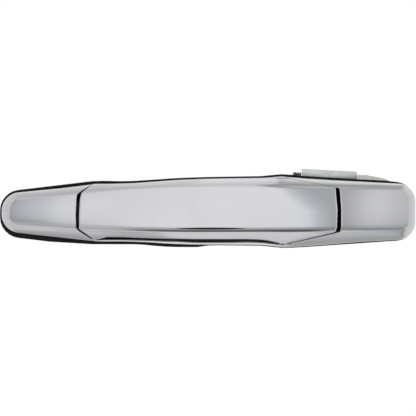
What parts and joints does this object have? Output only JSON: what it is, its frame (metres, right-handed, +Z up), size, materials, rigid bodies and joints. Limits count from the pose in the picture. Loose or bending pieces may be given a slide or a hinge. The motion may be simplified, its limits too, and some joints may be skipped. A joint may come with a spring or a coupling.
{
  "type": "pull-type outside door handle",
  "caption": "Chrome pull-type outside door handle with a blank end, hinged lever, sealed base plate and a counterweighted bellcrank that drives the latch rod.",
  "frame": {"origin": "midway between the two mounting studs, on the plane of the door skin", "axes": "+X along the door towards the free end of the lever, -Y out of the door, +Z up"},
  "size_m": [0.2825, 0.0902, 0.0539],
  "materials": {
    "bezel_chrome": "bright chrome plate on moulded plastic",
    "lever_chrome": "bright chrome plate on moulded plastic",
    "base_nylon": "fine-grained glass-filled nylon",
    "grip_nylon": "fine-grained nylon",
    "core_nylon": "glass-filled nylon",
    "gasket_foam": "closed-cell foam",
    "bumper_rubber": "soft rubber",
    "fixing_steel": "zinc-plated steel",
    "pin_steel": "ground steel",
    "spring_steel": "dark spring steel",
    "cast_zinc": "as-cast zinc",
    "weight_zinc": "tumbled cast zinc",
    "acetal": "natural acetal"
  },
  "bodies": {
    "base": {"bezel": "bezel_chrome", "chassis": "base_nylon", "gasket": "gasket_foam", "mounting_studs": "fixing_steel", "bezel_screws": "fixing_steel", "lever_pivot_pin": "pin_steel", "crank_bracket": "cast_zinc", "bracket_screws": "fixing_steel", "crank_shaft": "pin_steel", "shaft_clip": "pin_steel", "return_spring": "spring_steel", "stop_bumper": "bumper_rubber", "arm_slot_seal": "bumper_rubber"},
    "lever": {"lever_face": "lever_chrome", "grip_cover": "grip_nylon", "lever_core": "core_nylon", "pivot_bushes": "acetal", "lever_screws": "fixing_steel", "lever_bumpers": "bumper_rubber"},
    "crank": {"bellcrank": "cast_zinc", "crank_pin": "pin_steel", "crank_bushes": "acetal", "counterweight": "weight_zinc", "weight_rivets": "pin_steel"},
    "clip": {"rod_clip": "acetal"}
  },
  "joints": [
    {"name": "lever_swing", "type": "hinge", "parent": "base", "child": "lever", "pos_m": [-0.106, -0.016, 0], "axis": [0, 0, -1], "range_deg": [0, 6.5], "stiffness_Nm_per_rad": 6, "springref_deg": -6.88},
    {"name": "bellcrank_turn", "type": "hinge", "parent": "base", "child": "crank", "pos_m": [0.08, 0.02, 0.0215], "axis": [-1, 0, 0], "range_deg": [0, 43.4], "deforming": ["return_spring"]},
    {"name": "rod_clip_swivel", "type": "hinge", "parent": "crank", "child": "clip", "pos_m": [0.0937, 0.044, 0.0195], "axis": [1, 0, 0], "range_deg": [-35, 35]}
  ],
  "couplings": [
    {"joint": "bellcrank_turn", "follows": "lever_swing", "ratio": 6.67}
  ]
}
